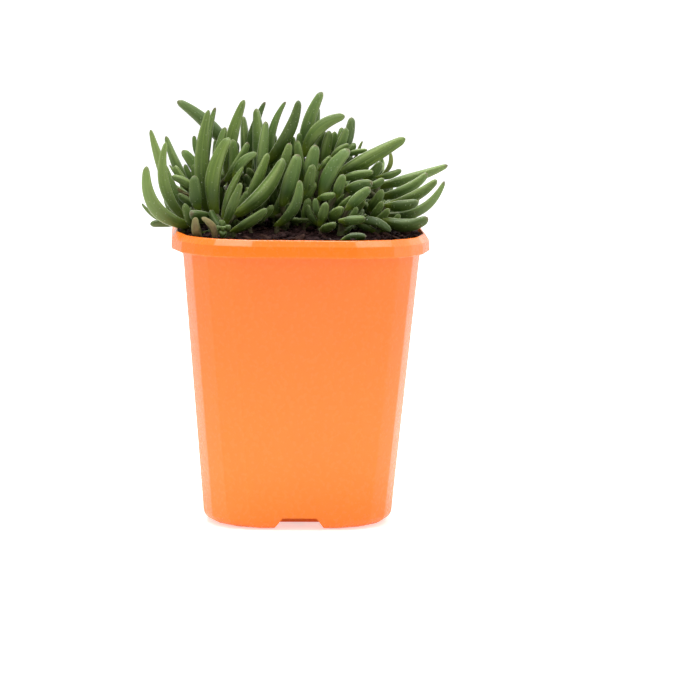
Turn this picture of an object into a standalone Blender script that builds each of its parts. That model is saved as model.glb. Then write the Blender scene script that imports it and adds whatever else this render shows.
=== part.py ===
"""Potted ice plant: a tapered square pot, its soil, branched stems and fleshy leaves.

The frame has +Z up and its origin at the middle of the pot's flat base.
The pot's front is its -Y side. Sizes are in millimetres until MM turns them
into metres.
"""
import math

import bmesh
import bpy
from mathutils import Matrix, Vector, noise

MM = 0.001

# Pot
POT_HEIGHT = 114.0
RIM_HALF = 50.0            # half the width across the lip
BODY_HALF_TOP = 45.6       # half the width just under the lip
BODY_HALF_BASE = 36.4
BODY_CORNER = 17.7         # length of each faceted corner along a side
BODY_FACET = (0.51, 0.186)  # where the corner's middle facet starts, as shares of that length
WALL = 1.3
LIP_HEIGHT = 6.6
LIP_BEVEL_HEIGHT = 2.2
LIP_BEVEL_INSET = 1.5
LIP_DRAFT = 0.3            # how far the lip leans in below its bevel
LIP_CORNER = ((0.40, 1.0), (0.69, 0.925), (0.825, 0.825), (0.925, 0.69), (1.0, 0.40))
UNDER_LIP = 1.0            # height over which the body turns out into the lip
INNER_FLOOR_RISE = 3.0     # height over which the inside floor curves up to the walls
INNER_LIP_DRAFT = 0.5
BASE_ROUNDING = 5.2

# Drain channels under the base, one in the middle of each side
CHANNEL_HEIGHT = 4.8
CHANNEL_WIDTH_TOP = 13.4
CHANNEL_WIDTH_BASE = 19.5
CHANNEL_LENGTH = 17.0
CHANNEL_BELOW = 6.0        # how far the cutters reach below the base
DRAIN_HOLE_RADIUS = 3.0

# Soil
GAP = 0.3                  # left between touching pieces
SOIL_LEVEL = 112.0         # at the walls
SOIL_MOUND = 1.6           # extra height in the middle
SOIL_LUMP = 0.7
SOIL_LUMP_SIZE = 7.0
SOIL_CELLS = 14

# Stems
ROOT_RADIUS = 2.6
STEM_RADIUS = 1.7
STEM_TIP_RADIUS = 1.2
ROOT_STEPS = 5
ROOT_SPREAD = (0.8, -0.6, 1.1)  # how far each shoot's root starts from the one before

# Leaves
LEAF_STEPS = 9
# share of the length, share of the width
LEAF_PROFILE = ((0.0, 0.56), (0.12, 0.80), (0.35, 1.0), (0.62, 0.93), (0.84, 0.68), (0.95, 0.46), (1.0, 0.24))
TUBE_BEVEL = 2             # eight sides

ORANGE_PLASTIC = ("orange_plastic", (1.0, 0.27, 0.065), 0.42)
DARK_SOIL = ("dark_soil", (0.022, 0.014, 0.013), 0.95)
GREEN_STEM = ("green_stem", (0.16, 0.20, 0.07), 0.65)
GREEN_LEAF = ("green_leaf", (0.11, 0.20, 0.055), 0.5)

# Each stem forks from one root: the root's low end, then each shoot's foot at
# the soil and its top.
STEMS = {
    "stem_left": ((-34, -6, 88), (((-41, -7, 111), (-43, -7, 117)),
                                 ((-34, -4, 111), (-34.5, 3, 128)),
                                 ((-29, -19, 111), (-30, -20, 117)))),
    "stem_inner_left": ((-18, 2, 88), (((-23, 6, 111), (-24, 7, 139)),
                                       ((-15, 4, 111), (-14.5, 6, 136)))),
    "stem_centre": ((0, -4, 88), (((-6, -10, 111), (-6, -10.5, 120)),
                                  ((0, 5, 111), (0, 6, 141)))),
    "stem_right": ((19, -4, 88), (((11, -9, 111), (10, -7, 124)),
                                  ((17, 4, 111), (15, 5, 138)),
                                  ((30, -6, 111), (30, -5, 127)))),
    "stem_back": ((3, 26, 88), (((-26, 25, 111), (-26, 26, 121)),
                                ((5, 27, 111), (5, 27, 122)),
                                ((28, 24, 111), (28, 25, 121)))),
}

# Each leaf: foot, tip, bow of its middle below the straight line, width.
LEAVES = {
    # left edge of the clump
    "leaf_01": ((-44.5, -14, 116.5), (-59.5, -21, 139), 6.3, 4.8),
    "leaf_02": ((-45.5, -9, 118.8), (-52.3, -12, 147.7), 4.6, 3.9),
    "leaf_03": ((-43.5, -2, 119.3), (-52.8, -4, 138.7), 1.2, 3.8),
    "leaf_04": ((-46.5, 2.5, 121.5), (-58.3, 3, 151.6), 1.0, 4.1),
    "leaf_05": ((-41.3, 5, 126), (-52.3, 6.5, 148.9), 1.0, 3.8),
    # left shoots
    "leaf_06": ((-33, -14, 121.8), (-27.8, -14, 149.7), -3.3, 5.6),
    "leaf_07": ((-34.8, -5.5, 119), (-35.8, -6, 160), 3.6, 5.2),
    "leaf_08": ((-37.5, 4, 130.5), (-46, 2.5, 143.5), -0.8, 4.4),
    "leaf_09": ((-32.5, -7.5, 131), (-29.3, -8.5, 153.6), -1.0, 4.0),
    "leaf_10": ((-35.5, -12, 119), (-42.5, -22, 121.5), 0.6, 4.8),
    "leaf_11": ((-39.8, -14.5, 123), (-41.2, -15.5, 135.3), 0.8, 4.4),
    "leaf_12": ((-30, -19, 120), (-22.7, -24, 139.5), -1.2, 2.9),
    "leaf_13": ((-29.5, -25, 117.8), (-23.6, -30, 134), 0.2, 3.5),
    "leaf_14": ((-24.5, -22, 122), (-7.3, -18, 142.4), 2.6, 5.4),
    "leaf_15": ((-26, -28, 115.6), (-13.8, -32, 124.3), 0.5, 3.8),
    # inner left shoots
    "leaf_16": ((-27, 9.5, 143.2), (-48, 7, 162.5), -1.5, 5.2),
    "leaf_17": ((-28, 1, 134), (-21.8, 2, 163.6), -1.5, 4.6),
    "leaf_18": ((-19.5, 7, 130), (-22, 9, 156.8), 0.2, 4.2),
    "leaf_19": ((-15.5, -0.5, 133), (-17.2, 0, 160.5), -0.6, 4.8),
    "leaf_20": ((-15.5, -7, 132), (-13.6, -7, 156), -0.4, 4.2),
    "leaf_21": ((-11, 3, 138), (-5.6, 3, 163), -2.5, 3.2),
    "leaf_22": ((-12, -2.8, 141.3), (-1, -4, 164), 2.0, 4.6),
    "leaf_23": ((-21, -14, 125), (-13, -15, 144.2), 0.3, 4.0),
    # centre shoots
    "leaf_24": ((-8.5, -18, 117.5), (-1, -21, 134.2), 2.8, 3.8),
    "leaf_25": ((-7, -12, 125), (-1.3, -13, 143.8), 0.2, 5.6),
    "leaf_26": ((1, -5, 133), (-1.2, -6, 148.6), 0.3, 3.6),
    "leaf_27": ((1.5, 3.5, 143), (8.8, 5, 166.8), -1.5, 4.8),
    "leaf_28": ((2.5, -2, 144.2), (17.2, -3, 157.8), -3.2, 4.6),
    "leaf_29": ((3, -9, 134), (5.8, -10, 147.2), -0.4, 5.0),
    # right shoots
    "leaf_30": ((9, -12, 128), (18.8, -12, 145.4), -2.0, 5.4),
    "leaf_31": ((13.5, -18.5, 128.5), (16, -20.5, 136.8), 0.2, 3.9),
    "leaf_32": ((9.5, 1, 139), (11.6, 1, 152), -0.4, 4.0),
    "leaf_33": ((11.5, -17, 119.5), (15, -28, 124.5), 0.6, 4.4),
    "leaf_34": ((13.5, -5.5, 134), (40.7, -8, 150), -0.4, 5.8),
    "leaf_35": ((15.9, 5.5, 142), (20.4, 6, 157), 0.9, 4.1),
    "leaf_36": ((16.3, -12.5, 134.5), (28, -14, 137.2), -0.4, 3.3),
    "leaf_37": ((18.3, -17, 131), (27, -23, 134), 0.3, 5.0),
    "leaf_38": ((18, -26, 124.5), (26, -28, 132.3), -0.5, 4.1),
    "leaf_39": ((15.5, -31, 120), (24, -33, 121.2), 0.3, 3.5),
    # right edge of the clump
    "leaf_40": ((32, 4, 130.4), (58.4, 2, 138.9), 0.7, 4.2),
    "leaf_41": ((33, -4, 127.2), (49.5, -6, 136.3), 1.8, 4.0),
    "leaf_42": ((36, -8, 124.6), (52.9, -11, 134.2), 1.5, 4.1),
    "leaf_43": ((33, -12, 120.3), (55.6, -14, 133.8), 4.9, 3.6),
    "leaf_44": ((34, -15, 124.3), (45.2, -19, 126.4), 0.7, 4.2),
    "leaf_45": ((32.5, -20, 119.4), (48.5, -24, 120.8), 2.8, 4.7),
    # back of the clump
    "leaf_46": ((-30, 28, 118), (-49, 36, 127), 3.5, 4.6),
    "leaf_47": ((-27, 31, 121), (-34, 54, 134), 4.0, 4.8),
    "leaf_48": ((-23.5, 25, 125), (-30, 26, 146), 0.8, 4.6),
    "leaf_49": ((-21, 30, 117.5), (-12, 52, 128), 3.0, 4.4),
    "leaf_50": ((2, 31, 120), (-2, 56, 132), 3.6, 4.8),
    "leaf_51": ((7, 25, 126), (8, 28, 149), 0.8, 4.6),
    "leaf_52": ((9, 31, 121), (20, 52, 136), 4.0, 4.6),
    "leaf_53": ((28, 29, 122), (36, 50, 137), 3.6, 4.6),
}


def clear_scene():
    for obj in list(bpy.data.objects):
        bpy.data.objects.remove(obj, do_unlink=True)


def make_collection(name):
    collection = bpy.data.collections.new(name)
    bpy.context.scene.collection.children.link(collection)
    return collection


def make_material(spec):
    name, colour, roughness = spec
    material = bpy.data.materials.new(name)
    material.use_nodes = True
    shader = material.node_tree.nodes["Principled BSDF"]
    shader.inputs["Base Color"].default_value = (*colour, 1.0)
    shader.inputs["Roughness"].default_value = roughness
    shader.inputs["Metallic"].default_value = 0.0
    return material


def add_object(name, data, collection, material=None):
    obj = bpy.data.objects.new(name, data)
    collection.objects.link(obj)
    if material:
        data.materials.append(material)
    return obj


def hide_cutter(obj):
    obj.hide_render = True
    obj.display_type = "WIRE"


def add_boolean(obj, other, operation):
    modifier = obj.modifiers.new(f"{operation.lower()}_{other.name}", "BOOLEAN")
    modifier.operation = operation
    modifier.solver = "EXACT"
    modifier.object = other


def body_ring(half):
    """One corner of the body's plan, from the middle of +Y to the middle of +X."""
    near, cut = (half - BODY_CORNER * share for share in BODY_FACET)
    middle = (near + cut) / 2
    return [(half - BODY_CORNER, half), (near, cut), (middle, middle), (cut, near), (half, half - BODY_CORNER)]


def lip_ring(half):
    """One corner of the lip's plan, which is rounder than the body's."""
    return [(half * x, half * y) for x, y in LIP_CORNER]


def full_ring(corner, height):
    """Turns one corner round all four sides, anticlockwise from above."""
    points = []
    for quarter in range(4):
        turn = -quarter * math.pi / 2
        for x, y in corner:
            points.append(Vector((x * math.cos(turn) - y * math.sin(turn),
                                  x * math.sin(turn) + y * math.cos(turn), height)))
    points.reverse()
    return points


def loft(name, rings):
    """A closed solid through plan rings of equal point counts, lowest first."""
    shape = bmesh.new()
    rows = [[shape.verts.new(point * MM) for point in ring] for ring in rings]
    count = len(rows[0])
    shape.faces.new(list(reversed(rows[0])))
    shape.faces.new(rows[-1])
    for low, high in zip(rows, rows[1:]):
        for i in range(count):
            j = (i + 1) % count
            shape.faces.new((low[i], low[j], high[j], high[i]))
    mesh = bpy.data.meshes.new(name)
    shape.to_mesh(mesh)
    shape.free()
    return mesh


def body_half(height):
    share = height / (POT_HEIGHT - LIP_HEIGHT)
    return BODY_HALF_BASE + (BODY_HALF_TOP - BODY_HALF_BASE) * share


def outer_rings():
    rings = []
    for step in range(4):
        angle = step * math.pi / 6
        inset = BASE_ROUNDING * (1 - math.sin(angle))
        height = BASE_ROUNDING * (1 - math.cos(angle))
        rings.append(full_ring(body_ring(body_half(height) - inset), height))
    lip_base = POT_HEIGHT - LIP_HEIGHT
    rings.append(full_ring(body_ring(BODY_HALF_TOP), lip_base - UNDER_LIP))
    rings.append(full_ring(lip_ring(RIM_HALF), lip_base))
    rings.append(full_ring(lip_ring(RIM_HALF - LIP_DRAFT), POT_HEIGHT - LIP_BEVEL_HEIGHT))
    rings.append(full_ring(lip_ring(RIM_HALF - LIP_DRAFT - LIP_BEVEL_INSET), POT_HEIGHT))
    return rings


def inner_rings(gap, top):
    """The inside of the pot, made smaller all round by the gap."""
    inset = WALL + gap
    floor = inset
    shoulder = POT_HEIGHT - LIP_HEIGHT + inset
    rise = floor + INNER_FLOOR_RISE
    return [full_ring(body_ring(body_half(floor) - inset - BASE_ROUNDING * 0.5), floor),
            full_ring(body_ring(body_half(rise) - inset), rise),
            full_ring(body_ring(BODY_HALF_TOP - inset), shoulder - UNDER_LIP),
            full_ring(lip_ring(RIM_HALF - inset - INNER_LIP_DRAFT), shoulder),
            full_ring(lip_ring(RIM_HALF - inset - 2 * INNER_LIP_DRAFT), top)]


def make_channels(name, grow, collection):
    """Four flat tunnels, open at the pot's sides, that narrow upwards."""
    shape = bmesh.new()
    outside = BODY_HALF_BASE + 6
    inside = BODY_HALF_BASE - CHANNEL_LENGTH - grow
    # carried on below the base at the same slope, so the cut leaves no skin
    slope = (CHANNEL_WIDTH_BASE - CHANNEL_WIDTH_TOP) / CHANNEL_HEIGHT
    sections = ((-CHANNEL_BELOW, CHANNEL_WIDTH_BASE + slope * CHANNEL_BELOW),
                (CHANNEL_HEIGHT + grow, CHANNEL_WIDTH_TOP))
    for quarter in range(4):
        turn = Matrix.Rotation(quarter * math.pi / 2, 3, "Z")
        rows = []
        for height, width in sections:
            half = width / 2 + grow
            corners = [(-half, inside), (half, inside), (half, outside), (-half, outside)]
            rows.append([shape.verts.new(turn @ Vector((x, y, height)) * MM) for x, y in corners])
        low, high = rows
        shape.faces.new(list(reversed(low)))
        shape.faces.new(high)
        for i in range(4):
            j = (i + 1) % 4
            shape.faces.new((low[i], low[j], high[j], high[i]))
    mesh = bpy.data.meshes.new(name)
    shape.to_mesh(mesh)
    shape.free()
    obj = add_object(name, mesh, collection)
    hide_cutter(obj)
    return obj


def make_drain_holes(collection):
    holes = []
    reach = (BODY_HALF_BASE - CHANNEL_LENGTH + DRAIN_HOLE_RADIUS + 2.0) * MM
    for quarter in range(4):
        turn = quarter * math.pi / 2
        bpy.ops.mesh.primitive_cylinder_add(vertices=16, radius=DRAIN_HOLE_RADIUS * MM, depth=6 * MM,
                                            location=(reach * math.sin(turn), reach * math.cos(turn),
                                                      CHANNEL_HEIGHT * MM))
        hole = bpy.context.active_object
        hole.name = f"cut_drain_hole_{quarter + 1}"
        for owner in list(hole.users_collection):
            owner.objects.unlink(hole)
        collection.objects.link(hole)
        hide_cutter(hole)
        holes.append(hole)
    return holes


def make_pot(parts, cutters):
    pot = add_object("pot", loft("pot", outer_rings()), parts, make_material(ORANGE_PLASTIC))
    hollow = add_object("cut_pot_hollow", loft("cut_pot_hollow", inner_rings(0.0, POT_HEIGHT + 2)), cutters)
    hide_cutter(hollow)
    add_boolean(hollow, make_channels("cut_channel_walls", WALL, cutters), "DIFFERENCE")
    add_boolean(pot, hollow, "DIFFERENCE")
    add_boolean(pot, make_channels("cut_channels", 0.0, cutters), "DIFFERENCE")
    for hole in make_drain_holes(cutters):
        add_boolean(pot, hole, "DIFFERENCE")
    return pot


def soil_height(x, y):
    reach = max(0.0, 1.0 - (x * x + y * y) / (44.0 * 44.0))
    lump = noise.noise(Vector((x / SOIL_LUMP_SIZE, y / SOIL_LUMP_SIZE, 3.7)))
    return SOIL_LEVEL + SOIL_MOUND * reach + SOIL_LUMP * lump


def make_soil(parts, cutters, stems):
    """A lumpy block trimmed to the inside of the pot, with a socket for each root."""
    shape = bmesh.new()
    bmesh.ops.create_grid(shape, x_segments=SOIL_CELLS, y_segments=SOIL_CELLS, size=52 * MM)
    for vert in shape.verts:
        vert.co.z = soil_height(vert.co.x / MM, vert.co.y / MM) * MM
    skirt = bmesh.ops.extrude_edge_only(shape, edges=[edge for edge in shape.edges if edge.is_boundary])
    low = [item for item in skirt["geom"] if isinstance(item, bmesh.types.BMVert)]
    for vert in low:
        vert.co.z = -5 * MM
    bmesh.ops.holes_fill(shape, edges=[edge for edge in shape.edges if edge.is_boundary], sides=0)
    bmesh.ops.recalc_face_normals(shape, faces=shape.faces)
    mesh = bpy.data.meshes.new("soil")
    shape.to_mesh(mesh)
    shape.free()
    soil = add_object("soil", mesh, parts, make_material(DARK_SOIL))
    fill = add_object("cut_soil_fill", loft("cut_soil_fill", inner_rings(GAP, POT_HEIGHT + 6)), cutters)
    hide_cutter(fill)
    add_boolean(soil, fill, "INTERSECT")
    add_boolean(soil, make_channels("cut_soil_channels", WALL + GAP, cutters), "DIFFERENCE")
    for name in stems:
        socket = make_stem(f"cut_socket_{name}", *STEMS[name], cutters, cutters, GAP, None)
        hide_cutter(socket)
        add_boolean(soil, socket, "DIFFERENCE")
    return soil


def make_tube(name, points, radii, collection):
    """A closed tube with its own radius at each point."""
    curve = bpy.data.curves.new(name, "CURVE")
    curve.dimensions = "3D"
    curve.bevel_depth = MM
    curve.bevel_resolution = TUBE_BEVEL
    curve.use_fill_caps = True
    spline = curve.splines.new("POLY")
    spline.points.add(len(points) - 1)
    for slot, point, radius in zip(spline.points, points, radii):
        slot.co = (*(point * MM), 1.0)
        slot.radius = radius
    return add_object(name, curve, collection)


def tube_to_mesh(tube, collection, material):
    """Turns a tube into a welded mesh under the same name, ready for a Boolean."""
    name = tube.name
    depsgraph = bpy.context.evaluated_depsgraph_get()
    mesh = bpy.data.meshes.new_from_object(tube.evaluated_get(depsgraph))
    shape = bmesh.new()
    shape.from_mesh(mesh)
    bmesh.ops.remove_doubles(shape, verts=shape.verts, dist=0.00001)
    shape.to_mesh(mesh)
    shape.free()
    place = tube.matrix_world.copy()
    bpy.data.objects.remove(tube, do_unlink=True)
    obj = add_object(name, mesh, collection, material)
    obj.matrix_world = place
    return obj


def shoot_route(root, foot, top):
    """A smooth run from the root, out to the foot and up to the shoot's top."""
    points = []
    for step in range(ROOT_STEPS + 1):
        share = step / ROOT_STEPS
        side = math.sin(share * math.pi / 2)
        points.append(Vector((root[0] + (foot[0] - root[0]) * side,
                              root[1] + (foot[1] - root[1]) * side,
                              root[2] + (foot[2] - root[2]) * share)))
    points.append(Vector(foot).lerp(Vector(top), 0.5))
    points.append(Vector(top))
    return points


def make_stem(name, root, shoots, collection, cutters, grow, material):
    """One branched body: each shoot's tube joined to the first one's."""
    tubes = []
    for number, (foot, top) in enumerate(shoots):
        route = shoot_route(Vector(root) + Vector(ROOT_SPREAD) * number, foot, top)
        radii = [ROOT_RADIUS + (STEM_RADIUS - ROOT_RADIUS) * i / ROOT_STEPS for i in range(ROOT_STEPS + 1)]
        radii += [STEM_RADIUS, STEM_TIP_RADIUS]
        tube_name = name if number == 0 else f"join_{name}_{number}"
        tube = make_tube(tube_name, route, [radius + grow for radius in radii], cutters)
        tubes.append(tube_to_mesh(tube, collection if number == 0 else cutters, material))
    for other in tubes[1:]:
        hide_cutter(other)
        add_boolean(tubes[0], other, "UNION")
    return tubes[0]


def leaf_radius(share):
    """The leaf's width along its length, as a share of its greatest."""
    for (start, low), (end, high) in zip(LEAF_PROFILE, LEAF_PROFILE[1:]):
        if share <= end:
            ease = (share - start) / (end - start)
            return low + (high - low) * ease
    return LEAF_PROFILE[-1][1]


def leaf_route(foot, tip, bow):
    """A shallow arc whose middle hangs below the straight line by the bow."""
    foot, tip = Vector(foot), Vector(tip)
    along = (tip - foot).normalized()
    down = Vector((0, 0, -1))
    down = (down - along * down.dot(along)).normalized()
    points, shares = [], []
    for step in range(LEAF_STEPS + 1):
        share = 1 - (1 - step / LEAF_STEPS) ** 1.15
        points.append(foot.lerp(tip, share) + down * bow * 4 * share * (1 - share))
        shares.append(share)
    return points, shares


def make_leaf(name, foot, tip, bow, width, collection, material):
    points, shares = leaf_route(foot, tip, bow)
    radii = [width / 2 * leaf_radius(share) for share in shares]
    leaf = make_tube(name, points, radii, collection)
    leaf.data.materials.append(material)
    return leaf


def main():
    clear_scene()
    parts = make_collection("potted_ice_plant")
    cutters = make_collection("cutters")
    make_pot(parts, cutters)
    make_soil(parts, cutters, STEMS)
    stem_material = make_material(GREEN_STEM)
    for name, (root, shoots) in STEMS.items():
        make_stem(name, root, shoots, parts, cutters, 0.0, stem_material)
    leaf_material = make_material(GREEN_LEAF)
    for name, (foot, tip, bow, width) in LEAVES.items():
        make_leaf(name, foot, tip, bow, width, parts, leaf_material)


main()
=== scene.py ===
import math
import random

import bmesh
import bpy
import numpy as np
from mathutils import Matrix, Vector, noise


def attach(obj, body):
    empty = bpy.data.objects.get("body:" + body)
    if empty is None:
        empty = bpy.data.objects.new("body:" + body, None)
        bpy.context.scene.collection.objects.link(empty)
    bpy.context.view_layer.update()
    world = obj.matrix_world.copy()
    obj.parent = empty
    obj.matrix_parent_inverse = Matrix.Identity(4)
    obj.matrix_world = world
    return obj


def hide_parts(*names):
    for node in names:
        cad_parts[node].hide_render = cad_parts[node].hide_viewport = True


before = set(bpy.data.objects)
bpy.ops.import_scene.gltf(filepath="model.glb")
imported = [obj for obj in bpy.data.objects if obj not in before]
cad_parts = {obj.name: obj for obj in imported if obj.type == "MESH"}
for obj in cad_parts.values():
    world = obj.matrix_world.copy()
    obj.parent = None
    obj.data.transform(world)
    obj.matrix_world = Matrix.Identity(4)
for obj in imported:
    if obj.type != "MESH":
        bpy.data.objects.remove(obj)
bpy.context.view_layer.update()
mm = 0.001
bpy.context.scene.view_settings.view_transform = "Standard"  # keeps the orange as bright as the real plastic

# camera: where it stands, which way it looks (radians) and its lens
view = {
    "distance": 1.200,
    "height": 0.2381,
    "aroundTheLeft": 0.0423,
    "pan": 0.0173,
    "tilt": -0.1428,
    "roll": 0.0140,
    "lens": 157.7,
    "sensor": 36.0,
    "nearest": 0.05,
}


def placeCamera():
    camera = bpy.data.objects.new("camera", bpy.data.cameras.new("camera"))
    bpy.context.scene.collection.objects.link(camera)
    camera.data.lens = view["lens"]
    camera.data.sensor_width = view["sensor"]
    camera.data.clip_start = view["nearest"]
    around = view["aroundTheLeft"]
    spot = Vector((-math.sin(around), -math.cos(around), 0)) * view["distance"]
    spot.z = view["height"]
    turn = Matrix.Rotation(-around - view["pan"], 4, "Z")
    tilt = Matrix.Rotation(math.pi / 2 + view["tilt"], 4, "X")
    roll = Matrix.Rotation(view["roll"], 4, "Z")
    camera.matrix_world = Matrix.Translation(spot) @ turn @ tilt @ roll
    bpy.context.scene.camera = camera


placeCamera()
print("camera placed")

# shared shader groups: each puts out only colours, masks or heights

def newGroup(name, inputs, **outputs):
    # inputs have their usual values, outputs their kind
    group = bpy.data.node_groups.new(name, "ShaderNodeTree")
    for title, value in inputs.items():
        kind = "NodeSocketColor" if isinstance(value, tuple) else "NodeSocketFloat"
        group.interface.new_socket(name=title, in_out="INPUT", socket_type=kind).default_value = value
    for title, kind in outputs.items():
        group.interface.new_socket(name=title, in_out="OUTPUT", socket_type="NodeSocket" + kind)
    start = group.nodes.new("NodeGroupInput")
    end = group.nodes.new("NodeGroupOutput")
    return group, start.outputs, end.inputs


def addNode(tree, kind, **settings):
    node = tree.nodes.new(kind)
    for key, value in settings.items():
        setattr(node, key, value)
    return node


def addMath(tree, operation, first, second=None, clamp=False):
    node = addNode(tree, "ShaderNodeMath", operation=operation, use_clamp=clamp)
    for socket, value in zip(node.inputs, (first, second)):
        if value is None:
            continue
        if isinstance(value, (int, float)):
            socket.default_value = value
        else:
            tree.links.new(value, socket)
    return node.outputs[0]


def times(tree, first, second):
    return addMath(tree, "MULTIPLY", first, second)


def plus(tree, first, second):
    return addMath(tree, "ADD", first, second)


def addRange(tree, value, low, high, toLow=0.0, toHigh=1.0):
    node = addNode(tree, "ShaderNodeMapRange", interpolation_type="SMOOTHSTEP")
    tree.links.new(value, node.inputs["Value"])
    for title, amount in (("From Min", low), ("From Max", high), ("To Min", toLow), ("To Max", toHigh)):
        node.inputs[title].default_value = amount
    return node.outputs["Result"]


def addMix(tree, factor, first, second, blend="MIX"):
    node = addNode(tree, "ShaderNodeMix", data_type="RGBA", blend_type=blend)
    for index, value in ((0, factor), (6, first), (7, second)):
        socket = node.inputs[index]
        if isinstance(value, (int, float)):
            socket.default_value = value
        elif isinstance(value, tuple):
            socket.default_value = (*value, 1)
        else:
            tree.links.new(value, socket)
    return node.outputs[2]


def addNoise(tree, place, scale, detail=3.0, rough=0.55):
    node = addNode(tree, "ShaderNodeTexNoise")
    if place is not None:
        tree.links.new(place, node.inputs["Vector"])
    node.inputs["Detail"].default_value = detail
    node.inputs["Roughness"].default_value = rough
    if isinstance(scale, (int, float)):
        node.inputs["Scale"].default_value = scale
    else:
        tree.links.new(scale, node.inputs["Scale"])
    return node.outputs["Fac"]


def readAttribute(tree, name):
    return addNode(tree, "ShaderNodeAttribute", attribute_name=name).outputs["Fac"]


def objectPlace(tree):
    return addNode(tree, "ShaderNodeTexCoord").outputs["Object"]


def newMaterial(name, roughness, **sockets):
    material = bpy.data.materials.new(name)
    material.use_nodes = True
    tree = material.node_tree
    shader = tree.nodes["Principled BSDF"]
    shader.inputs["Roughness"].default_value = roughness
    for title, value in sockets.items():
        shader.inputs[title.replace("_", " ")].default_value = value
    return material, tree, shader


def splitAxes(tree, value):
    split = addNode(tree, "ShaderNodeSeparateXYZ")
    tree.links.new(value, split.inputs[0])
    return split.outputs


# studio: a pale floor, white surroundings and four soft boxes (place, side, power)
studio = {
    "floorSize": 8.0,
    "floorDrop": 0.0002,
    "floorColour": (0.90, 0.90, 0.90, 1),
    "floorRoughness": 0.9,
    "floorGlow": 0.28,  # the pot stands on a softly lit table
    "floorSeen": 0.26,
    "skySeen": 1.1,
    "aroundDiffuse": 0.50,
    "behindCamera": 0.12,
    "behindFrom": -0.98,
    "behindTo": -0.62,
    "rightLift": 2.6,
    "rightFrom": 0.2,
    "aim": (0, 0, 0.12),
    "boxes": {
        # the two upper boxes show as bright patches on the turned facets of the lip
        "boxLeft": ((-0.46, -0.52, 1.30), 0.42, 4.0),
        "boxRight": ((0.50, -0.48, 1.30), 0.42, 4.0),
        "frontBox": ((0.0, -1.42, 1.08), 0.4, 3.6),
        "topBox": ((-0.12, 0.26, 1.22), 0.7, 15.0),
    },
}


def makeFloor():
    bpy.ops.mesh.primitive_plane_add(size=studio["floorSize"], location=(0, 0, -studio["floorDrop"]))
    floor = bpy.context.active_object
    floor.name = "studioFloor"
    material, tree, shader = newMaterial("studioFloor", studio["floorRoughness"],
                                         Base_Color=studio["floorColour"], Emission_Color=(1, 1, 1, 1))
    seen = addNode(tree, "ShaderNodeLightPath").outputs["Is Camera Ray"]
    glow = plus(tree, times(tree, seen, studio["floorSeen"]), studio["floorGlow"])
    tree.links.new(glow, shader.inputs["Emission Strength"])
    floor.data.materials.append(material)


def makeSurroundings():
    # white to the eye and in reflections, dimmer as light, and dark behind the camera
    world = bpy.data.worlds.new("studio")
    bpy.context.scene.world = world
    world.use_nodes = True
    tree = world.node_tree
    background = tree.nodes["Background"]
    background.inputs["Color"].default_value = (1, 1, 1, 1)
    ray = addNode(tree, "ShaderNodeLightPath").outputs
    way = splitAxes(tree, addNode(tree, "ShaderNodeTexCoord").outputs["Generated"])
    level = addRange(tree, ray["Is Diffuse Ray"], 0.0, 1.0, 1.0, studio["aroundDiffuse"])
    behind = addRange(tree, way["Y"], studio["behindFrom"], studio["behindTo"], studio["behindCamera"], 1.0)
    right = addRange(tree, way["X"], studio["rightFrom"], 1.0, 0.0, studio["rightLift"])
    right = plus(tree, times(tree, right, ray["Is Glossy Ray"]), 1.0)
    shade = times(tree, times(tree, level, behind), right)
    seen = times(tree, ray["Is Camera Ray"], studio["skySeen"])
    tree.links.new(addMath(tree, "MAXIMUM", shade, seen), background.inputs["Strength"])


def softBox(name, spot, size, power):
    light = bpy.data.objects.new(name, bpy.data.lights.new(name, "AREA"))
    bpy.context.scene.collection.objects.link(light)
    light.data.shape = "SQUARE"
    light.data.size = size
    light.data.energy = power
    light.location = spot
    aim = Vector(studio["aim"]) - Vector(spot)
    light.rotation_euler = aim.to_track_quat("-Z", "Y").to_euler()


makeFloor()
makeSurroundings()
for boxName, boxValues in studio["boxes"].items():
    softBox(boxName, *boxValues)
print("studio lit")


def makeMottleGroup():
    inputs = {"Colour": (0.5, 0.5, 0.5, 1), "Other Colour": (0.4, 0.4, 0.4, 1), "Scale": 100.0, "Amount": 1.0}
    group, start, end = newGroup("colourMottle", inputs, Colour="Color", Mask="Float")
    broad = addNoise(group, objectPlace(group), start["Scale"], 4.0)
    mask = addRange(group, broad, 0.34, 0.66)
    share = addMath(group, "MULTIPLY", mask, start["Amount"], clamp=True)
    colour = addMix(group, share, start["Colour"], start["Other Colour"])
    group.links.new(colour, end["Colour"])
    group.links.new(mask, end["Mask"])
    return group


def makeGrainGroup():
    group, start, end = newGroup("surfaceGrain", {"Scale": 1500.0, "Coarse": 0.3}, Height="Float")
    place = objectPlace(group)
    fine = addNoise(group, place, start["Scale"], 2.0)
    broad = addNoise(group, place, times(group, start["Scale"], 0.22), 2.0)
    total = plus(group, fine, times(group, broad, start["Coarse"]))
    group.links.new(total, end["Height"])
    return group


def makeSpeckGroup():
    inputs = {"Scale": 900.0, "Size": 0.16, "Share": 0.3}
    group, start, end = newGroup("paleSpecks", inputs, Mask="Float")
    cells = addNode(group, "ShaderNodeTexVoronoi", feature="F1")
    group.links.new(objectPlace(group), cells.inputs["Vector"])
    group.links.new(start["Scale"], cells.inputs["Scale"])
    inside = addMath(group, "LESS_THAN", cells.outputs["Distance"], start["Size"])
    split = addNode(group, "ShaderNodeSeparateColor")
    group.links.new(cells.outputs["Color"], split.inputs[0])
    chosen = addMath(group, "LESS_THAN", split.outputs[0], start["Share"])
    group.links.new(times(group, inside, chosen), end["Mask"])
    return group


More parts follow.
